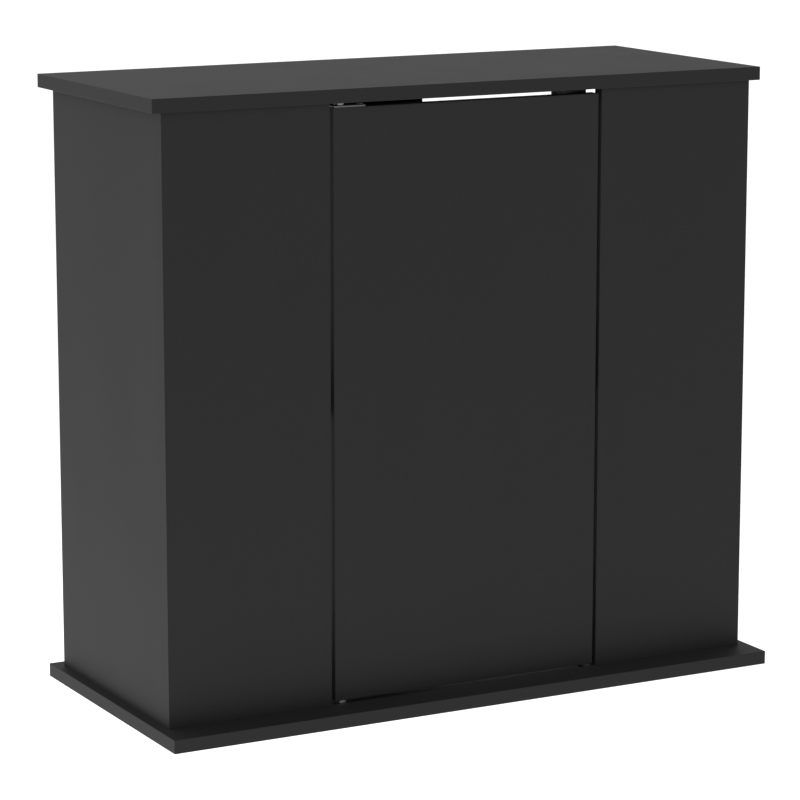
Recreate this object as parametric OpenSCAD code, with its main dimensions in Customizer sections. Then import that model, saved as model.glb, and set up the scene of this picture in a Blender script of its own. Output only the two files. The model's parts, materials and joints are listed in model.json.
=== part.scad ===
// Aquarium stand cabinet: a board carcass whose open back is stiffened by a centre panel, with one
// pivot-hung door between two fixed front panels.
// Millimetres. The origin is the middle of the base board's underside; +X right, -Y front, +Z up.

/* [Cabinet] */
// Height from the floor to the tank deck
cabinet_h = 730; // [700:5:900]
// Width of the base board and of the top board
board_w = 795; // [760:5:1000]
// Depth of the base board
base_d = 365; // [350:5:430]
// Depth of the top board
top_d = 328; // [325:1:345]
// Thickness of every board
board_t = 16; // [16:1:18]
// Thickness of the plastic edge bands
band_t = 1; // [0.5:0.1:1.5]
// Overhang of the base and top boards past each side panel
side_overhang = 12.5; // [5:0.5:20]
// Distance from the top board's front edge back to the fronts
front_inset = 4.5; // [2:0.5:6]
// Distance from the boards' back edge to the side and back panels
back_inset = 16; // [10:1:18]
// Width of the back centre panel
back_panel_w = 198; // [190:2:260]

/* [Door] */
// Width of the opening between the front panels
opening_w = 357; // [330:1:380]
// Gap at each side of the door
door_side_gap = 4.5; // [3.4:0.1:5]
// Gap under the door
door_bottom_gap = 3.8; // [3:0.1:5]
// Gap above the door
door_top_gap = 5.5; // [5:0.1:6]
// Distance from the door's hinge edge to the pivot line
pivot_inset = 11.5; // [10:0.5:11.5]

/* [Shelf] */
// Height of the shelf's underside
shelf_z = 350; // [340:5:380]
// Gap between the fronts and the shelf
shelf_front_gap = 20; // [10:1:60]
// Gap between the shelf and the back centre panel
shelf_back_gap = 5.5; // [3:0.5:20]
// Gap at each end of the shelf
shelf_end_gap = 1.5; // [1:0.1:3]
// Spacing of the shelf pin holes
pin_pitch = 32; // [25, 32]
// Number of spare pin holes above and below the one in use
spare_pins = 2; // [0:1:2]

/* [Joinery] */
// Diameter of a wood dowel
dowel_d = 8; // [6:1:8]
// Length of a dowel inside the board whose edge it enters
dowel_in_edge = 20; // [15:1:22]
// Length of a dowel inside the board whose face it enters
dowel_in_face = 10; // [8:1:12]
// Diameter of a cam lock
cam_d = 15; // [12:0.5:15]
// Depth of a cam lock's pocket
cam_depth = 12.5; // [12, 12.5]
// Distance from a board's edge to the middle of its cam lock
cam_setback = 34; // [24:1:34]
// Diameter of a cam cap
cap_d = 17; // [16:0.5:18]

/* [Pivot] */
// Diameter of the pivot pins
pivot_d = 6; // [5:0.5:6]
// Diameter of the bushes and of their seats
bush_d = 10; // [9:0.5:10]
// Depth of a bush seat
seat_depth = 11; // [10:0.5:12]
// Diameter of the disc under the door
disc_d = 12; // [11:0.5:13]
// Length of the hinge plate on the door's top edge
plate_l = 41; // [38:1:44]
// Width of the hinge plate
plate_w = 14; // [12:1:14]
// Thickness of the hinge plate
plate_t = 2; // [1.5:0.1:2]

/* [Latch] */
// Width of the latch housing
latch_w = 20; // [18:1:22]
// Length of the latch housing
latch_l = 48; // [46:1:55]
// Height of the latch housing
latch_h = 19; // [18:0.5:20]
// Diameter of the plunger
plunger_d = 10; // [8:0.5:10]

/* [Hidden] */
$fn = 48;
eps = 0.01;
slip = 0.05;          // radial clearance of a pin in its bore
lift = 0.3;           // free gap where a moving face passes a fixed one
band_seam = 0.05;     // hairline where two edge bands meet at a corner

// Planes and places shared by the boards
half_w = board_w / 2;
back_y = base_d / 2;
top_front_y = back_y - top_d;
front_y = top_front_y + front_inset;
front_inner_y = front_y + board_t;
front_mid_y = front_y + board_t / 2;
panel_back_y = back_y - back_inset;
back_mid_y = panel_back_y - board_t / 2;
body_half = half_w - side_overhang;
inner_half = body_half - board_t;
side_mid_x = body_half - board_t / 2;
low_z = board_t;
high_z = cabinet_h - board_t;
opening_half = opening_w / 2;

// Door
door_half = opening_half - door_side_gap;
door_low_z = low_z + door_bottom_gap;
door_high_z = high_z - door_top_gap;
pivot_x = -door_half + pivot_inset;
pin_reach = 9.4;      // length of a pivot pin inside its bush
boss_d = 11;
plate_end = 1.2;      // from the door's hinge edge to the plate
plate_corner = 2;
plate_screw_x = plate_l - 4.2;
peg_l = 10;           // length of the top pivot inside the door
cup_wall = 0.6;

// Shelf
shelf_half = inner_half - shelf_end_gap;
shelf_front_y = front_inner_y + shelf_front_gap;
shelf_back_y = panel_back_y - board_t - shelf_back_gap;
pin_d = 5;
pin_head_d = 7;
pin_depth = 9;
pin_ys = [shelf_front_y + 35, shelf_back_y - 35];
pin_z = shelf_z - pin_head_d / 2;

// Joinery: places of the cam locks and dowels along each seam
side_cam_ys = [front_inner_y + 65, panel_back_y - 65];
side_dowel_ys = [front_inner_y + 30, panel_back_y - 25];
front_cam_x = (opening_half + body_half) / 2;
front_dowel_xs = [opening_half + 30, body_half - 50];
back_cam_x = 55;
back_dowel_xs = [20, 85];
corner_cam_zs = [low_z + 114, high_z - 114];
corner_dowel_zs = [low_z + 60, cabinet_h / 2, high_z - 60];
bolt_thread_d = 6;
bolt_thread_l = 10;
bolt_shank_d = 6;
bolt_neck_d = 3.5;
bolt_head_d = 6.4;
bolt_bore_d = 8;
cap_t = 1.2;
recess = 2.5;         // depth of a cross recess in a cam

// Latch
latch_x = door_half - 14;
latch_front_y = front_inner_y + 5;
latch_axis_z = high_z - 11.5;
cavity_l = latch_l - 3;
ear_l = 10;
ear_t = 3;
plunger_l = 30.7;
plunger_pocket = 14;
plunger_front_y = latch_front_y - 2.7;
magnet_d = 8;
magnet_l = 4;
spring_d = 7;
spring_wire = 0.7;
spring_turns = 11;
spring_sides = 6;
spring_steps = 12;    // rings in one turn
spring_gap = 0.05;    // hairline between the spring and the plunger
strike_t = 1;

// Screws: head diameter, head height, shank diameter, length under the head
HINGE_SCREW = [6.2, 1.6, 3.5, 16];
LATCH_SCREW = [6.5, 2, 3.5, 13];
STRIKE_SCREW = [6, 1.5, 3, 12];
screw_recess = 1;

black_board = "#2d2d2e";
black_band = "#38383a";
raw_board = "#b08d62";
zinc = "#b9bcbf";
dark_plastic = "#1c1c1d";

// A board is [lowest corner, highest corner, bands on its low faces, bands on its high faces].
BASE = [[-half_w, -back_y, 0], [half_w, back_y, low_z], [1, 1, 0], [1, 1, 0]];
TOP = [[-half_w, top_front_y, high_z], [half_w, back_y, cabinet_h], [1, 1, 0], [1, 1, 0]];
SIDE = [[inner_half, front_inner_y, low_z], [body_half, panel_back_y, high_z], [0, 0, 0], [0, 1, 0]];
FRONT = [[opening_half, front_y, low_z], [body_half, front_inner_y, high_z], [1, 0, 0], [1, 0, 0]];
BACK = [[-back_panel_w / 2, panel_back_y - board_t, low_z], [back_panel_w / 2, panel_back_y, high_z],
        [1, 0, 0], [1, 0, 0]];
SHELF = [[-shelf_half, shelf_front_y, shelf_z], [shelf_half, shelf_back_y, shelf_z + board_t],
         [0, 1, 0], [0, 1, 0]];
DOOR = [[-door_half, front_y, door_low_z], [door_half, front_inner_y, door_high_z], [1, 0, 1], [1, 0, 1]];

// A seam is [point where edge meets face, direction into the face, direction out of the board's inner side].
function end_seams(xs, ys, out, end_z, up) = [for (x = xs) for (y = ys) [[x, y, end_z], [0, 0, up], out]];
function corner_seams(zs) = [for (z = zs) [[side_mid_x, front_inner_y, z], [0, -1, 0], [-1, 0, 0]]];
function side_cams(z, up) = end_seams([side_mid_x], side_cam_ys, [-1, 0, 0], z, up);
function front_cams(z, up) = end_seams([front_cam_x], [front_mid_y], [0, 1, 0], z, up);
function back_cams(z, up) = end_seams([back_cam_x], [back_mid_y], [0, -1, 0], z, up);
function side_dowels(z, up) = end_seams([side_mid_x], side_dowel_ys, [-1, 0, 0], z, up);
function front_dowels(z, up) = end_seams(front_dowel_xs, [front_mid_y], [0, 1, 0], z, up);
function back_dowels(z, up) = end_seams(back_dowel_xs, [back_mid_y], [0, -1, 0], z, up);
function end_cams(z, up) = concat(side_cams(z, up), front_cams(z, up), back_cams(z, up));
function end_dowels(z, up) = concat(side_dowels(z, up), front_dowels(z, up), back_dowels(z, up));
ALL_CAMS = concat(end_cams(low_z, -1), end_cams(high_z, 1), corner_seams(corner_cam_zs));
ALL_DOWELS = concat(end_dowels(low_z, -1), end_dowels(high_z, 1), corner_seams(corner_dowel_zs));

// ---- Boards and bands ----

function core(b) = [b[0] + band_t * b[2], b[1] - band_t * b[3]];

// The low or high corner of one band strip. The strips on axis `first` run the full length of the board,
// and the others fit between them.
function strip_corner(b, axis, side, first, end) = [
    for (i = [0:2])
        i == axis ? (side == end ? b[side][i] : core(b)[side][i])
        : i == first ? core(b)[end][i] + (end == 0 ? band_seam : -band_seam)
        : b[end][i]
];

module slab(lo, hi) {
    translate(lo) cube(hi - lo);
}

module board_core(b) {
    slab(core(b)[0], core(b)[1]);
}

module board_bands(b, first) {
    for (axis = [0:2], side = [0:1])
        if (b[2 + side][axis] > 0)
            slab(strip_corner(b, axis, side, first, 0), strip_corner(b, axis, side, first, 1));
}

module flipped() {
    mirror([1, 0, 0]) children();
}

module both_sides() {
    children();
    flipped() children();
}

// Puts a fitting drawn around its seam in place: +Z runs into the face, +X out of the inner side.
module at_seam(seam) {
    into = seam[1];
    out = seam[2];
    across = cross(into, out);
    multmatrix([
        [out[0], across[0], into[0], seam[0][0]],
        [out[1], across[1], into[1], seam[0][1]],
        [out[2], across[2], into[2], seam[0][2]],
        [0, 0, 0, 1]
    ]) children();
}

module at_seams(seams) {
    for (seam = seams) at_seam(seam) children();
}

// Two crossed bars, the form of a cross recess or of the plug that fits it
module cross_bars(length, width, height) {
    for (turn = [0, 90]) rotate(turn) translate([-length / 2, -width / 2, 0]) cube([length, width, height]);
}

// ---- Joinery ----

module dowel_bore() {
    translate([0, 0, -dowel_in_edge - 0.5])
        cylinder(d = dowel_d + 2 * slip, h = dowel_in_edge + dowel_in_face + 1);
}

module dowel() {
    translate([0, 0, -dowel_in_edge]) cylinder(d = dowel_d, h = dowel_in_edge + dowel_in_face);
}

// Everything that a cam lock needs cut: its pocket, the bolt's bore to the edge and its hole in the face
module cam_bore() {
    translate([board_t / 2 - cam_depth, 0, -cam_setback])
        rotate([0, 90, 0]) cylinder(d = cam_d, h = cam_depth + 1);
    translate([0, 0, -cam_setback]) cylinder(d = bolt_bore_d, h = cam_setback + eps);
    translate([0, 0, -eps]) cylinder(d = bolt_thread_d + 2 * slip, h = bolt_thread_l + 0.5);
}

module cam_lock_body() {
    cam_floor = board_t / 2 - cam_depth + 0.2;
    cam_h = cam_depth - 0.5;
    difference() {
        translate([cam_floor, 0, -cam_setback]) rotate([0, 90, 0]) cylinder(d = cam_d - 0.2, h = cam_h);
        translate([0, 0, -cam_setback - 4]) cylinder(d = bolt_bore_d - 0.4, h = cam_d);
        translate([cam_floor + cam_h - recess, 0, -cam_setback])
            rotate([0, 90, 0]) cross_bars(6.4, 1.6, recess + 1);
    }
}

module cam_bolt_body() {
    head_low = -cam_setback - 2;
    neck_low = head_low + 3.5;
    shank_low = neck_low + 5.5;
    translate([0, 0, head_low]) cylinder(d = bolt_head_d, h = 3.5);
    translate([0, 0, neck_low]) cylinder(d = bolt_neck_d, h = 5.5);
    translate([0, 0, shank_low]) cylinder(d = bolt_shank_d, h = -shank_low);
    translate([0, 0, -1.5]) cylinder(d = bolt_bore_d - 0.4, h = 1.5);
    cylinder(d = bolt_thread_d, h = bolt_thread_l);
}

module cam_cap_body() {
    translate([board_t / 2, 0, -cam_setback]) rotate([0, 90, 0]) {
        cylinder(d = cap_d, h = cap_t);
        translate([0, 0, -recess + 0.2]) cross_bars(6, 1.2, recess);
    }
}

module wood_dowels() {
    color(raw_board) both_sides() at_seams(ALL_DOWELS) dowel();
}

module cam_locks() {
    color(zinc) both_sides() at_seams(ALL_CAMS) cam_lock_body();
}

module cam_bolts() {
    color(zinc) both_sides() at_seams(ALL_CAMS) cam_bolt_body();
}

module cam_caps() {
    color(dark_plastic) both_sides() at_seams(ALL_CAMS) cam_cap_body();
}

// ---- Screws ----

// A screw whose head rests on z = 0 and whose shank runs down
module screw(s) {
    difference() {
        union() {
            cylinder(d = s[0], h = s[1]);
            translate([0, 0, -s[3]]) cylinder(d = s[2], h = s[3] + eps);
        }
        translate([0, 0, s[1] - screw_recess]) cross_bars(s[0] * 0.6, 0.9, screw_recess + 1);
    }
}

module screw_hole(s) {
    translate([0, 0, -s[3] - 0.5]) cylinder(d = s[2] + 2 * slip, h = s[3] + s[1] + 5);
}

// ---- Fixed boards ----

module base_board() {
    color(black_board) difference() {
        board_core(BASE);
        both_sides() {
            at_seams(end_cams(low_z, -1)) cam_bore();
            at_seams(end_dowels(low_z, -1)) dowel_bore();
            translate([pivot_x, front_mid_y, low_z - seat_depth]) cylinder(d = bush_d, h = seat_depth + 1);
        }
    }
}

module top_board() {
    color(black_board) difference() {
        board_core(TOP);
        both_sides() {
            at_seams(end_cams(high_z, 1)) cam_bore();
            at_seams(end_dowels(high_z, 1)) dowel_bore();
            translate([pivot_x, front_mid_y, high_z - 1]) cylinder(d = bush_d, h = seat_depth + 1);
        }
        at_latch_screws() screw_hole(LATCH_SCREW);
    }
}

module side_panel() {
    color(black_board) difference() {
        board_core(SIDE);
        at_seams(concat(side_cams(low_z, -1), side_cams(high_z, 1), corner_seams(corner_cam_zs)))
            cam_bore();
        at_seams(concat(side_dowels(low_z, -1), side_dowels(high_z, 1), corner_seams(corner_dowel_zs)))
            dowel_bore();
        for (y = pin_ys, row = [-spare_pins:spare_pins])
            translate([inner_half - 1, y, pin_z + row * pin_pitch])
                rotate([0, 90, 0]) cylinder(d = pin_d + 2 * slip, h = pin_depth + 1);
    }
}

module front_panel() {
    color(black_board) difference() {
        board_core(FRONT);
        at_seams(concat(front_cams(low_z, -1), front_cams(high_z, 1), corner_seams(corner_cam_zs)))
            cam_bore();
        at_seams(concat(front_dowels(low_z, -1), front_dowels(high_z, 1), corner_seams(corner_dowel_zs)))
            dowel_bore();
    }
}

module left_side_panel() {
    flipped() side_panel();
}

module right_side_panel() {
    side_panel();
}

module left_front_panel() {
    flipped() front_panel();
}

module right_front_panel() {
    front_panel();
}

module back_centre_panel() {
    color(black_board) difference() {
        board_core(BACK);
        both_sides() {
            at_seams(concat(back_cams(low_z, -1), back_cams(high_z, 1))) cam_bore();
            at_seams(concat(back_dowels(low_z, -1), back_dowels(high_z, 1))) dowel_bore();
        }
    }
}

module shelf() {
    color(black_board) board_core(SHELF);
}

module base_edge_bands() {
    color(black_band) board_bands(BASE, 1);
}

module top_edge_bands() {
    color(black_band) board_bands(TOP, 1);
}

module side_edge_bands() {
    color(black_band) both_sides() board_bands(SIDE, 1);
}

module front_edge_bands() {
    color(black_band) both_sides() board_bands(FRONT, 0);
}

module back_edge_bands() {
    color(black_band) board_bands(BACK, 0);
}

module shelf_edge_bands() {
    color(black_band) board_bands(SHELF, 1);
}

module shelf_pins() {
    color(zinc) both_sides() for (y = pin_ys) translate([inner_half, y, pin_z]) rotate([0, -90, 0]) {
        cylinder(d = pin_head_d, h = 8);
        translate([0, 0, -pin_depth + 0.5]) cylinder(d = pin_d, h = pin_depth);
    }
}

// ---- Door ----

// What the door and its bands have cut out for the bottom bush, the top pivot and the screws
module door_cuts() {
    translate([pivot_x, front_mid_y, door_low_z - 1]) cylinder(d = bush_d, h = seat_depth + 2);
    translate([pivot_x, front_mid_y, door_high_z - peg_l - 0.5])
        cylinder(d = pivot_d + 2 * slip, h = peg_l + 1.5);
    at_hinge_screw() screw_hole(HINGE_SCREW);
    at_strike_screw() screw_hole(STRIKE_SCREW);
}

module door() {
    color(black_board) difference() {
        board_core(DOOR);
        door_cuts();
    }
}

module door_edge_bands() {
    color(black_band) difference() {
        board_bands(DOOR, 0);
        door_cuts();
    }
}

// ---- Pivots ----

module at_hinge_screw() {
    translate([-door_half + plate_end + plate_screw_x, front_mid_y, door_high_z + plate_t]) children();
}

module rounded_rect(length, width, r) {
    translate([r, 0]) square([length - 2 * r, width]);
    translate([0, r]) square([length, width - 2 * r]);
    for (x = [r, length - r], y = [r, width - r]) translate([x, y]) circle(r);
}

module top_hinge_plate() {
    color(zinc) difference() {
        translate([-door_half + plate_end, front_mid_y - plate_w / 2, door_high_z])
            linear_extrude(plate_t) rounded_rect(plate_l, plate_w, plate_corner);
        translate([pivot_x, front_mid_y, door_high_z - 1]) cylinder(d = pivot_d + 2 * slip, h = plate_t + 2);
        at_hinge_screw() screw_hole(HINGE_SCREW);
    }
}

module top_hinge_pin() {
    boss_low = door_high_z + plate_t;
    boss_h = door_top_gap - plate_t - lift;
    color(zinc) translate([pivot_x, front_mid_y, 0]) {
        translate([0, 0, door_high_z - peg_l]) cylinder(d = pivot_d, h = peg_l + door_top_gap + pin_reach);
        translate([0, 0, boss_low]) cylinder(d = boss_d, h = boss_h);
    }
}

module top_hinge_screw() {
    color(zinc) at_hinge_screw() screw(HINGE_SCREW);
}

module top_hinge_bush() {
    color(dark_plastic) translate([pivot_x, front_mid_y, high_z]) difference() {
        cylinder(d = bush_d - 2 * slip, h = seat_depth - 0.2);
        translate([0, 0, -1]) cylinder(d = pivot_d + 2 * slip, h = seat_depth + 2);
    }
}

module bottom_pivot() {
    disc_h = door_bottom_gap - lift;
    color(zinc) translate([pivot_x, front_mid_y, low_z]) {
        translate([0, 0, 0.2 - seat_depth]) cylinder(d = bush_d - 2 * slip, h = seat_depth - 0.2);
        cylinder(d = disc_d, h = disc_h);
        translate([0, 0, disc_h]) cylinder(d = pivot_d, h = pin_reach);
    }
}

module bottom_hinge_bush() {
    color(dark_plastic) translate([pivot_x, front_mid_y, door_low_z]) difference() {
        cylinder(d = bush_d - 2 * slip, h = seat_depth + 0.8);
        translate([0, 0, -1]) cylinder(d = pivot_d + 2 * slip, h = seat_depth + 0.6);
    }
}

// Cups that line the two unused seats on the door's latch side
module spare_seat_cups() {
    cup_h = seat_depth - 0.2;
    cup_d = bush_d - 2 * slip;
    for (seat = [[low_z, 180], [high_z, 0]])
        color(dark_plastic) translate([-pivot_x, front_mid_y, seat[0]]) rotate([seat[1], 0, 0]) difference() {
            cylinder(d = cup_d, h = cup_h);
            translate([0, 0, -1]) cylinder(d = cup_d - 2 * cup_wall, h = cup_h - cup_wall + 1);
        }
}

// ---- Latch ----

module at_latch_screws() {
    for (side = [-1, 1])
        translate([latch_x + side * (latch_w + ear_l) / 2, latch_front_y + latch_l / 2, high_z - ear_t])
            rotate([180, 0, 0]) children();
}

// Puts a turned piece on the plunger's line, with its +Z running to the back of the cabinet
module on_latch_line(y) {
    translate([latch_x, y, latch_axis_z]) rotate([-90, 0, 0]) children();
}

module latch_housing() {
    ear_span = latch_w + 2 * ear_l;
    color(dark_plastic) difference() {
        union() {
            translate([latch_x - latch_w / 2, latch_front_y, high_z - latch_h])
                cube([latch_w, latch_l, latch_h]);
            translate([latch_x - ear_span / 2, latch_front_y + latch_l / 2 - ear_l, high_z - ear_t])
                cube([ear_span, 2 * ear_l, ear_t]);
        }
        on_latch_line(latch_front_y - 1) cylinder(d = plunger_d + 2 * slip, h = cavity_l + 1);
        at_latch_screws() screw_hole(LATCH_SCREW);
    }
}

module latch_plunger() {
    color(dark_plastic) difference() {
        on_latch_line(plunger_front_y) cylinder(d = plunger_d, h = plunger_l);
        on_latch_line(plunger_front_y - 1) cylinder(d = magnet_d + 2 * slip, h = magnet_l);
        on_latch_line(plunger_front_y + plunger_l - plunger_pocket)
            cylinder(d = spring_d + 0.6, h = plunger_pocket + 1);
    }
}

module latch_magnet() {
    color(zinc) on_latch_line(plunger_front_y - 1) cylinder(d = magnet_d, h = magnet_l);
}

// A round-wire helix from z = 0, closed at both ends
module latch_spring() {
    spring_y = plunger_front_y + plunger_l - plunger_pocket + spring_gap;
    spring_l = latch_front_y + cavity_l - spring_y;
    rise = spring_l - spring_wire;
    mean_r = (spring_d - spring_wire) / 2;
    rings = spring_turns * spring_steps;
    points = [
        for (i = [0:rings], k = [0:spring_sides - 1])
            let (turn = i * 360 / spring_steps, around = k * 360 / spring_sides)
            let (r = mean_r + spring_wire / 2 * cos(around))
            [r * cos(turn), r * sin(turn), spring_wire / 2 + rise * i / rings + spring_wire / 2 * sin(around)]
    ];
    walls = [
        for (i = [0:rings - 1], k = [0:spring_sides - 1])
            let (a = i * spring_sides + k, b = i * spring_sides + (k + 1) % spring_sides)
            [a, b, b + spring_sides, a + spring_sides]
    ];
    first_cap = [for (k = [spring_sides - 1:-1:0]) k];
    last_cap = [for (k = [0:spring_sides - 1]) rings * spring_sides + k];
    color(zinc) on_latch_line(spring_y) polyhedron(points, concat(walls, [first_cap, last_cap]));
}

module latch_screws() {
    color(zinc) at_latch_screws() screw(LATCH_SCREW);
}

module at_strike_screw() {
    translate([latch_x, front_inner_y + strike_t, latch_axis_z - 14.5]) rotate([-90, 0, 0]) children();
}

module strike_plate() {
    strike_w = 14;
    strike_h = 25;
    color(zinc) difference() {
        translate([latch_x - strike_w / 2, front_inner_y + strike_t, latch_axis_z + 5 - strike_h])
            rotate([90, 0, 0]) linear_extrude(strike_t) rounded_rect(strike_w, strike_h, 1.5);
        at_strike_screw() screw_hole(STRIKE_SCREW);
    }
}

module strike_screw() {
    color(zinc) at_strike_screw() screw(STRIKE_SCREW);
}

base_board();
top_board();
left_side_panel();
right_side_panel();
left_front_panel();
right_front_panel();
back_centre_panel();
shelf();
door();
base_edge_bands();
top_edge_bands();
side_edge_bands();
front_edge_bands();
back_edge_bands();
shelf_edge_bands();
door_edge_bands();
wood_dowels();
cam_locks();
cam_bolts();
cam_caps();
shelf_pins();
top_hinge_plate();
top_hinge_pin();
top_hinge_screw();
top_hinge_bush();
bottom_pivot();
bottom_hinge_bush();
spare_seat_cups();
latch_housing();
latch_plunger();
latch_magnet();
latch_spring();
latch_screws();
strike_plate();
strike_screw();
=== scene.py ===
import json
import math

import bmesh
import bpy
from mathutils import Matrix, Vector


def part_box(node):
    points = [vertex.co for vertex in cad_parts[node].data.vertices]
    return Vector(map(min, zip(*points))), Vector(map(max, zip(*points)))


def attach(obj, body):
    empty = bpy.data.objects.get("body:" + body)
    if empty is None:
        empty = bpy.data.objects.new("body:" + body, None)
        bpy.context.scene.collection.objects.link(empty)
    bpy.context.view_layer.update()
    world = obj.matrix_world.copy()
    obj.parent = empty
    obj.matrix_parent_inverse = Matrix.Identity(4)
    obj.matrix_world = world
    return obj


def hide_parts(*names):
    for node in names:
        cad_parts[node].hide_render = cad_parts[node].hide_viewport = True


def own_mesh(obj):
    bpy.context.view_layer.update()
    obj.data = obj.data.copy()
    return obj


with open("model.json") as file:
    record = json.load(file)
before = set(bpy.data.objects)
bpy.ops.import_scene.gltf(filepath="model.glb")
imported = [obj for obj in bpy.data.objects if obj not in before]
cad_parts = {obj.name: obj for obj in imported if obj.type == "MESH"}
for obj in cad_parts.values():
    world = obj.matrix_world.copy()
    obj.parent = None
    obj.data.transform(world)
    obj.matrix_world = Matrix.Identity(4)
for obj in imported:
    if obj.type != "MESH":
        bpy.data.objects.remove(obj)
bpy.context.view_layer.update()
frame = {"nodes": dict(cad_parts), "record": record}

MM = 0.001

BODY_OF = {node: body for body, nodes in frame["record"]["behaviour"]["bodies"].items() for node in nodes}


# ---------------------------------------------------------------- shader helpers

class Nodes:
    """A node tree with short ways to add and link nodes."""

    def __init__(self, tree):
        self.tree = tree

    def add(self, kind, **settings):
        node = self.tree.nodes.new(kind)
        for key, value in settings.items():
            setattr(node, key, value)
        return node

    def feed(self, node, **inputs):
        """Sets or links inputs by name, where _ stands for a space, or by number, as in n0."""
        for key, value in inputs.items():
            numbered = key[0] == "n" and key[1:].isdigit()
            socket = node.inputs[int(key[1:]) if numbered else key.replace("_", " ")]
            if isinstance(value, bpy.types.NodeSocket):
                self.tree.links.new(value, socket)
            else:
                socket.default_value = value
        return node

    def coords(self, kind):
        return self.add("ShaderNodeTexCoord").outputs[kind]

    def split(self, vector):
        return self.feed(self.add("ShaderNodeSeparateXYZ"), Vector=vector).outputs

    def math(self, operation, a, b=0.0):
        node = self.add("ShaderNodeMath", operation=operation)
        return self.feed(node, n0=a, n1=b).outputs[0]

    def ranged(self, value, low, high, start=0.0, end=1.0):
        node = self.add("ShaderNodeMapRange")
        self.feed(node, Value=value, From_Min=start, From_Max=end, To_Min=low, To_Max=high)
        return node.outputs["Result"]

    def mix(self, share, first, second):
        node = self.add("ShaderNodeMix", data_type="RGBA")
        return self.feed(node, n0=share, n6=first, n7=second).outputs[2]


class Shader(Nodes):
    """A material under construction."""

    def __init__(self, name):
        self.material = bpy.data.materials.new(name)
        self.material.use_nodes = True
        super().__init__(self.material.node_tree)
        self.bsdf = self.tree.nodes["Principled BSDF"]
        self.place = self.coords("Object")

    def set(self, **constants):
        """Sets values that are the same all over the surface."""
        for key, value in constants.items():
            self.bsdf.inputs[key.replace("_", " ")].default_value = value

    def noise(self, scale, detail=2.0, place=None):
        node = self.add("ShaderNodeTexNoise")
        self.feed(node, Vector=place or self.place, Scale=scale, Detail=detail)
        return node.outputs["Fac"]

    def cells(self, scale):
        return self.feed(self.add("ShaderNodeTexVoronoi"), Vector=self.place, Scale=scale).outputs

    def stretched(self, factors):
        return self.feed(self.add("ShaderNodeMapping"), Vector=self.place, Scale=factors).outputs["Vector"]

    def bump(self, height, strength, distance):
        node = self.add("ShaderNodeBump")
        return self.feed(node, Height=height, Strength=strength, Distance=distance).outputs["Normal"]

    def arris(self):
        """0 on faces square to an axis, 1 on the rounded edges between them."""
        x, y, z = (self.math("ABSOLUTE", part) for part in self.split(self.coords("Normal")))
        squareness = self.math("MAXIMUM", self.math("MAXIMUM", x, y), z)
        return self.ranged(squareness, 1.0, 0.0, 0.72, 0.97)


def grey(value, warm=0.0):
    """A near-neutral linear colour."""
    return (value * (1 + warm), value, value * (1 - warm), 1.0)


# ---------------------------------------------------------------- materials

BOARD_TONE = 0.0112
BOARD_IOR = 1.3
BOARD_ROUGHNESS = 0.6
SKIN = 0.2 * MM


def melamine(name, axis, low, high):
    """Black pearl-textured melamine on the board's two faces, and raw chipboard between them."""
    s = Shader(name)
    off_middle = s.math("ABSOLUTE", s.math("SUBTRACT", s.split(s.place)[axis], (low + high) / 2))
    inside = s.math("LESS_THAN", off_middle, (high - low) / 2 - SKIN)

    cloud = s.noise(5.0, 3.0)
    pearl = s.noise(1400.0, 1.0)
    tone = s.mix(cloud, grey(BOARD_TONE * 0.94), grey(BOARD_TONE * 1.06))
    tone = s.mix(s.ranged(pearl, 0.0, 0.4, 0.4, 0.7), tone, grey(BOARD_TONE * 1.7))
    chips = s.cells(900.0)
    chip_tone = s.mix(chips["Color"], (0.36, 0.22, 0.11, 1), (0.55, 0.38, 0.21, 1))
    s.feed(s.bsdf, Base_Color=s.mix(inside, tone, chip_tone))

    wiped = s.noise(1.0, 3.0, place=s.stretched((14.0, 14.0, 3.0)))
    satin = s.ranged(pearl, BOARD_ROUGHNESS + 0.08, BOARD_ROUGHNESS - 0.08, 0.2, 0.8)
    satin = s.math("ADD", s.ranged(wiped, -0.03, 0.03), satin)
    s.feed(s.bsdf, Roughness=s.math("MAXIMUM", satin, s.math("MULTIPLY", inside, 0.95)))
    pearl_bump = s.bump(pearl, 0.6, 0.1 * MM)
    chip_bump = s.bump(chips["Distance"], 0.6, 0.4 * MM)
    normal = s.feed(s.add("ShaderNodeMix", data_type="VECTOR"), n0=inside, n4=pearl_bump, n5=chip_bump)
    s.feed(s.bsdf, Normal=normal.outputs[1])
    s.set(IOR=BOARD_IOR)
    return s.material


def edge_band():
    """Black ABS edging with a fine pearl grain, burnished lighter along its scraped arrises."""
    s = Shader("edge_band_abs")
    cloud = s.noise(9.0, 2.0)
    pearl = s.noise(1600.0, 1.0)
    arris = s.arris()
    tone = s.mix(cloud, grey(0.0105), grey(0.0122))
    tone = s.mix(s.ranged(pearl, 0.0, 0.3, 0.45, 0.75), tone, grey(0.02))
    s.feed(s.bsdf, Base_Color=s.mix(s.math("MULTIPLY", arris, 0.5), tone, grey(0.026)))
    s.feed(s.bsdf, Roughness=s.math("SUBTRACT", s.ranged(pearl, 0.55, 0.64), s.math("MULTIPLY", arris, 0.12)))
    s.feed(s.bsdf, Normal=s.bump(pearl, 0.5, 0.08 * MM))
    s.set(IOR=BOARD_IOR)
    return s.material


def plastic(name, tone, rough):
    """Moulded plastic with a spark-eroded texture and slightly polished edges."""
    s = Shader(name)
    spark = s.noise(2600.0, 2.0)
    arris = s.math("MULTIPLY", s.arris(), 0.1)
    s.feed(s.bsdf, Base_Color=s.mix(s.noise(60.0), grey(tone * 0.85), grey(tone * 1.15)))
    s.feed(s.bsdf, Roughness=s.math("SUBTRACT", s.ranged(spark, rough - 0.06, rough + 0.06), arris))
    s.feed(s.bsdf, Normal=s.bump(spark, 0.4, 0.03 * MM))
    s.set(IOR=1.46)
    return s.material


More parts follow.
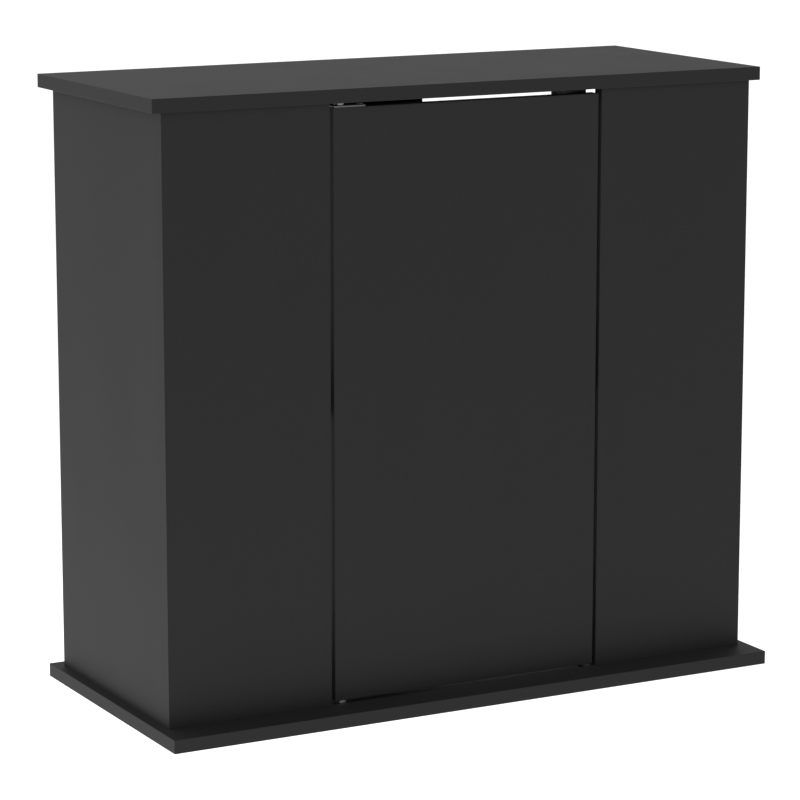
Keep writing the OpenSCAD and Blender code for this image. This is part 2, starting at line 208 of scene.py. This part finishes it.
def metal(name, tone, rough, warm=0.0):
    """Bare or plated metal with a fine grain, cloudy plating and brighter worn edges."""
    s = Shader(name)
    grain = s.noise(1500.0, 3.0)
    cloud = s.noise(90.0, 3.0)
    body = s.mix(cloud, grey(tone * 0.78, warm), grey(tone * 1.1, warm))
    worn = s.math("MULTIPLY", s.arris(), s.ranged(cloud, 0.1, 0.6))
    s.feed(s.bsdf, Base_Color=s.mix(worn, body, grey(min(1.0, tone * 1.7), warm)))
    satin = s.ranged(cloud, rough - 0.05, rough + 0.05)
    s.feed(s.bsdf, Roughness=s.math("ADD", s.ranged(grain, -0.08, 0.1), satin))
    s.feed(s.bsdf, Normal=s.bump(grain, 0.25, 0.02 * MM))
    s.set(Metallic=1.0)
    return s.material


def beech():
    """Planed beech with short dark flecks."""
    s = Shader("beech")
    grain = s.noise(400.0, 3.0, place=s.stretched((1.0, 1.0, 0.12)))
    s.feed(s.bsdf, Base_Color=s.mix(grain, (0.62, 0.42, 0.24, 1), (0.44, 0.27, 0.14, 1)))
    s.feed(s.bsdf, Roughness=s.ranged(grain, 0.55, 0.7))
    s.feed(s.bsdf, Normal=s.bump(grain, 0.3, 0.05 * MM))
    return s.material


# ---------------------------------------------------------------- mesh helpers

def welded(node):
    """A CAD node's mesh as one closed surface, with each flat face whole again."""
    source = frame["nodes"][node].data
    bm = bmesh.new()
    verts = [bm.verts.new(v.co) for v in source.vertices]
    for face in source.polygons:
        bm.faces.new([verts[i] for i in face.vertices])
    bmesh.ops.remove_doubles(bm, verts=bm.verts, dist=0.001 * MM)
    bmesh.ops.dissolve_limit(bm, angle_limit=math.radians(0.5), verts=bm.verts, edges=bm.edges)
    return bm


def sharp_edges(bm):
    limit = math.radians(40)
    return [edge for edge in bm.edges if len(edge.link_faces) == 2 and edge.calc_face_angle() > limit]


def round_edges(bm, edges, radius, segments):
    bmesh.ops.bevel(bm, geom=edges, offset=radius, segments=segments, profile=0.5, affect="EDGES",
                    clamp_overlap=True)


def block(low, high, radius):
    """A box with rounded edges."""
    bm = bmesh.new()
    bmesh.ops.create_cube(bm, size=1.0)
    for vert in bm.verts:
        vert.co = Vector(high[i] if vert.co[i] > 0 else low[i] for i in range(3))
    round_edges(bm, bm.edges[:], radius, 3)
    return bm


def rod(start, end, diameter, radius=0.0):
    """A round bar from start to end, with its rims rounded."""
    bm = bmesh.new()
    line = end - start
    place = Matrix.Translation((start + end) / 2) @ line.to_track_quat("Z", "Y").to_matrix().to_4x4()
    bmesh.ops.create_cone(bm, cap_ends=True, segments=64, radius1=diameter / 2, radius2=diameter / 2,
                          depth=line.length, matrix=place)
    if radius:
        round_edges(bm, sharp_edges(bm), radius, 3)
    return bm


def loose_object(bm):
    mesh = bpy.data.meshes.new("loose")
    bm.to_mesh(mesh)
    bm.free()
    loose = bpy.data.objects.new("loose", mesh)
    bpy.context.scene.collection.objects.link(loose)
    return loose


def combined(first, joined, cut):
    """The first mesh with others joined on and cut out, as one closed surface."""
    host = loose_object(first)
    tools = [("UNION", loose_object(bm)) for bm in joined] + [("DIFFERENCE", loose_object(bm)) for bm in cut]
    for operation, tool in tools:
        step = host.modifiers.new(operation.lower(), "BOOLEAN")
        step.operation = operation
        step.object = tool
        step.solver = "EXACT"
    graph = bpy.context.evaluated_depsgraph_get()
    mesh = bpy.data.meshes.new_from_object(host.evaluated_get(graph))
    result = bmesh.new()
    result.from_mesh(mesh)
    bpy.data.meshes.remove(mesh)
    for loose in [host] + [tool for _, tool in tools]:
        bpy.data.meshes.remove(loose.data)
    return result


def finished(bm, node, material):
    """Makes the piece that stands for a CAD node and moves with its body."""
    for face in bm.faces:
        face.smooth = True
    for edge in sharp_edges(bm):
        edge.smooth = False
    name = "finished_" + node
    mesh = bpy.data.meshes.new(name)
    bm.to_mesh(mesh)
    bm.free()
    mesh.materials.append(material)
    piece = bpy.data.objects.new(name, mesh)
    bpy.context.scene.collection.objects.link(piece)
    shading = piece.modifiers.new("shading", "WEIGHTED_NORMAL")
    shading.keep_sharp = True
    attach(piece, BODY_OF[node])
    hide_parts(node)
    return piece


def paint(node, material):
    """Gives a CAD node's object its material."""
    slots = frame["nodes"][node].data.materials
    slots.clear()
    slots.append(material)


# ---------------------------------------------------------------- boards and bands

BOARDS = {
    "base_board": 2, "top_board": 2, "shelf": 2,
    "left_side_panel": 0, "right_side_panel": 0,
    "left_front_panel": 1, "right_front_panel": 1, "back_centre_panel": 1, "door": 1,
}
SIDES = ["left_side_panel", "right_side_panel"]
FRONTS = ["left_front_panel", "right_front_panel"]
# Each node of bands, with the boards that it lies against and whether the bands meet at free corners
BANDS = {
    "base_edge_bands": (["base_board"], True),
    "top_edge_bands": (["top_board"], True),
    "side_edge_bands": (SIDES, False),
    "front_edge_bands": (FRONTS + SIDES, False),
    "back_edge_bands": (["back_centre_panel"], False),
    "shelf_edge_bands": (["shelf"], True),
    "door_edge_bands": (["door"], True),
}
TOUCH = 0.01 * MM
STRIP_LENGTH = 50 * MM    # shorter edges are the strips' ends
ARRIS_RADIUS = 0.6 * MM
HAIRLINE = 0.1 * MM


def on_board(point, boards):
    """Whether the point lies on the surface of one of the boards, or inside it."""
    for board in boards:
        low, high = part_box(board)
        if all(low[i] - TOUCH < point[i] < high[i] + TOUCH for i in range(3)):
            return True
    return False


def on_silhouette(point, node):
    """Whether the point lies on two or more faces of the node's box."""
    low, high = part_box(node)
    return sum(min(abs(point[i] - low[i]), abs(point[i] - high[i])) < TOUCH for i in range(3)) > 1


def edge_bands(node, boards, free_corners, material):
    """Edge bands with scraped, rounded arrises and a hairline along the glue joint."""
    bm = welded(node)
    outer, inner = [], []
    for edge in sharp_edges(bm):
        middle = (edge.verts[0].co + edge.verts[1].co) / 2
        long = edge.calc_length() > STRIP_LENGTH
        if on_board(middle, boards):
            inner += [edge] if long else []
        elif long or (free_corners and on_silhouette(middle, node)):
            outer.append(edge)
    round_edges(bm, outer, ARRIS_RADIUS, 3)
    round_edges(bm, [edge for edge in inner if edge.is_valid], HAIRLINE, 1)
    finished(bm, node, material)


def boards_and_bands():
    for board, axis in BOARDS.items():
        low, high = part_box(board)
        paint(board, melamine("melamine_" + board, axis, low[axis], high[axis]))
    material = edge_band()
    for node, (boards, free_corners) in BANDS.items():
        edge_bands(node, boards, free_corners, material)


# ---------------------------------------------------------------- fittings

def crown_caps(bm):
    """Raises the visible disc of each cam cap, its largest flat face, into a shallow dome."""
    rings, inset, rise = 3, 1.6 * MM, 0.18 * MM
    area = max(face.calc_area() for face in bm.faces)
    discs = [face for face in bm.faces if face.calc_area() > area * 0.98]
    for _ in range(rings):
        bmesh.ops.inset_individual(bm, faces=discs, thickness=inset, depth=rise, use_even_offset=True)


def latch_housing(material):
    """A moulded body with screw ears, grip ribs on its flanks and a collar round the plunger."""
    low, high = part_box("latch_housing")
    plunger_low, plunger_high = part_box("latch_plunger")
    screws_low, screws_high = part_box("latch_screws")
    middle = (low + high) / 2
    line = (plunger_low + plunger_high) / 2
    body_half = (high.x - low.x) / 4
    body = block((middle.x - body_half, low.y, low.z), (middle.x + body_half, high.y, high.z), 1.2 * MM)

    ear_half, ear_low = 10 * MM, high.z - 3 * MM
    ears = block((low.x, middle.y - ear_half, ear_low), (high.x, middle.y + ear_half, high.z), 0.8 * MM)

    def on_line(y):
        return Vector((line.x, y, line.z))

    collar_d, collar_front, collar_root = 14 * MM, 0.9 * MM, 2 * MM
    collar = rod(on_line(low.y - collar_front), on_line(low.y + collar_root), collar_d, 0.6 * MM)

    rib_half, rib_reach, rib_end = 0.6 * MM, body_half + 0.5 * MM, 2.5 * MM
    ribs = []
    for step in (4, 6.5, 9, 11.5, 36.5, 39, 41.5, 44):
        y = low.y + step * MM
        ribs.append(block((middle.x - rib_reach, y - rib_half, low.z + rib_end),
                          (middle.x + rib_reach, y + rib_half, high.z - rib_end), 0.35 * MM))

    clearance, past_front, back_wall = 0.1 * MM, 5 * MM, 3 * MM
    plunger_d = plunger_high.x - plunger_low.x
    bore = rod(on_line(low.y - past_front), on_line(high.y - back_wall), plunger_d + clearance)

    hole_d, head_d = 3.6 * MM, screws_high.y - screws_low.y
    holes = [rod(Vector((x, middle.y, high.z + MM)), Vector((x, middle.y, ear_low - MM)), hole_d)
             for x in (screws_low.x + head_d / 2, screws_high.x - head_d / 2)]
    finished(combined(body, [ears, collar] + ribs, [bore] + holes), "latch_housing", material)


def latch_spring(material):
    """A coil of round wire with closed end turns."""
    low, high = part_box("latch_spring")
    middle = (low + high) / 2
    wire_d, turns, closed = 0.7 * MM, 11, 1.25
    coil_r = (high.x - low.x - wire_d) / 2
    end_pitch = wire_d * 1.04
    open_pitch = (high.y - low.y - wire_d - 2 * closed * end_pitch) / (turns - 2 * closed)
    steps, sides = 32, 12
    bm = bmesh.new()
    rings = []
    for step in range(turns * steps + 1):
        turn = step / steps
        rise = (min(turn, closed) + max(0.0, turn - turns + closed)) * end_pitch
        rise += min(max(turn - closed, 0.0), turns - 2 * closed) * open_pitch
        out, along = Vector((math.cos(turn * math.tau), 0.0, math.sin(turn * math.tau))), Vector((0, 1, 0))
        centre = Vector((middle.x, low.y + wire_d / 2 + rise, middle.z)) + out * coil_r
        ring = []
        for side in range(sides):
            around = side * math.tau / sides
            offset = (out * math.cos(around) + along * math.sin(around)) * wire_d / 2
            ring.append(bm.verts.new(centre + offset))
        rings.append(ring)
    for first, second in zip(rings, rings[1:]):
        for side in range(sides):
            after = (side + 1) % sides
            bm.faces.new((first[side], first[after], second[after], second[side]))
    bm.faces.new(rings[0][::-1])
    bm.faces.new(rings[-1])
    bmesh.ops.recalc_face_normals(bm, faces=bm.faces)
    piece = finished(bm, "latch_spring", material)

    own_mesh(piece)


def fittings():
    dark_plastic = plastic("latch_plastic", 0.012, 0.5)
    cap_plastic = plastic("cap_plastic", 0.016, 0.55)
    dark_zinc = metal("dark_zinc", 0.13, 0.46)
    turned_zinc = metal("turned_zinc", 0.22, 0.4)
    plated = metal("plated_steel", 0.5, 0.36)
    # Node: material, edge radius in millimetres
    shaped = {
        "cam_caps": (cap_plastic, 0.35),
        "shelf_pins": (plated, 0.5),
        "top_hinge_plate": (dark_zinc, 0.35),
        "top_hinge_pin": (turned_zinc, 0.5),
        "top_hinge_screw": (dark_zinc, 0.3),
        "top_hinge_bush": (dark_plastic, 0.4),
        "bottom_pivot": (plated, 0.4),
        "bottom_hinge_bush": (dark_plastic, 0.3),
        "spare_seat_cups": (dark_plastic, 0.15),
        "latch_plunger": (dark_plastic, 0.5),
        "latch_magnet": (metal("nickel", 0.7, 0.2, warm=0.03), 0.3),
        "latch_screws": (plated, 0.3),
        "strike_plate": (plated, 0.25),
        "strike_screw": (plated, 0.3),
    }
    for node, (material, radius) in shaped.items():
        bm = welded(node)
        round_edges(bm, [edge for edge in sharp_edges(bm) if edge.is_convex], radius * MM, 3)
        if node == "cam_caps":
            crown_caps(bm)
        finished(bm, node, material)

    latch_housing(dark_plastic)

    paint("wood_dowels", beech())
    paint("cam_locks", metal("zinc_casting", 0.5, 0.42))
    paint("cam_bolts", plated)
    latch_spring(metal("spring_steel", 0.5, 0.3))


# ---------------------------------------------------------------- stage

def make_camera():
    """The camera stands to the front left, a little above the deck, and looks slightly down."""
    place = Vector((-1.8667, -3.4476, 1.1047))
    yaw, pitch = math.radians(28.259), math.radians(11.102)
    aim = Vector((math.sin(yaw) * math.cos(pitch), math.cos(yaw) * math.cos(pitch), -math.sin(pitch)))
    data = bpy.data.cameras.new("camera")
    data.sensor_width = 36.0
    data.lens = 149.7
    data.clip_start, data.clip_end = 0.05, 100.0
    camera = bpy.data.objects.new("camera", data)
    camera.location = place
    camera.rotation_euler = aim.to_track_quat("-Z", "Y").to_euler()
    bpy.context.scene.collection.objects.link(camera)
    bpy.context.scene.camera = camera


FLOOR_HALF = 30.0
# The floor glows most strongly round this place, and evenly past the far radius
POOL_PLACE = (-0.6, 0.1, 0.0)
POOL_NEAR, POOL_FAR = 0.4, 1.6
NEAR_GLOW, FAR_GLOW = 1.12, 0.75


def make_floor():
    """A wide pale floor that glows like a light table, with a painted pool of light beside the left end."""
    mesh = bpy.data.meshes.new("floor")
    bm = bmesh.new()
    bmesh.ops.create_grid(bm, x_segments=2, y_segments=2, size=FLOOR_HALF)
    bm.to_mesh(mesh)
    bm.free()
    floor = bpy.data.objects.new("floor", mesh)
    bpy.context.scene.collection.objects.link(floor)
    s = Shader("floor_paint_and_glow")
    s.feed(s.bsdf, Base_Color=s.mix(s.noise(0.8), grey(0.38), grey(0.4)))
    s.feed(s.bsdf, Roughness=s.ranged(s.noise(40.0), 0.85, 0.95))
    # Painted pool of light: the floor's glow is strongest beside the left end and brightens the floor's shade
    # near the cabinet
    pool = s.feed(s.add("ShaderNodeVectorMath", operation="DISTANCE"), n0=s.place, n1=POOL_PLACE)
    glow = s.ranged(pool.outputs["Value"], NEAR_GLOW, FAR_GLOW, POOL_NEAR, POOL_FAR)
    s.feed(s.bsdf, Emission_Strength=glow)
    s.set(IOR=1.3, Emission_Color=grey(1.0))
    mesh.materials.append(s.material)


# Strength of the surround towards each side, and of its horizon against the part over LOW_TOP
LEFT_GLOW, RIGHT_GLOW = 1.72, 0.75
FRONT_GLOW, BACK_GLOW = 0.81, 0.82
LOW_GLOW, LOW_TOP = 0.6, 0.6
BACKDROP = 1.12


def make_light():
    """Soft light from all round, strongest from the left and above, with a white backdrop."""
    scene = bpy.context.scene
    world = bpy.data.worlds.new("studio")
    scene.world = world
    world.use_nodes = True
    w = Nodes(world.node_tree)
    x, y, z = w.split(w.coords("Generated"))
    across, along = w.ranged(x, LEFT_GLOW, RIGHT_GLOW, -1.0), w.ranged(y, FRONT_GLOW, BACK_GLOW, -1.0)
    glow = w.math("MULTIPLY", across, along)
    glow = w.math("MULTIPLY", glow, w.ranged(z, LOW_GLOW, 1.0, 0.0, LOW_TOP))
    seen = w.add("ShaderNodeLightPath").outputs["Is Camera Ray"]
    lit = w.math("ADD", glow, w.math("MULTIPLY", seen, w.math("SUBTRACT", BACKDROP, glow)))
    w.feed(world.node_tree.nodes["Background"], Color=(1, 1, 1, 1), Strength=lit)
    scene.view_settings.view_transform = "Standard"


boards_and_bands()
fittings()
make_camera()
make_floor()
make_light()
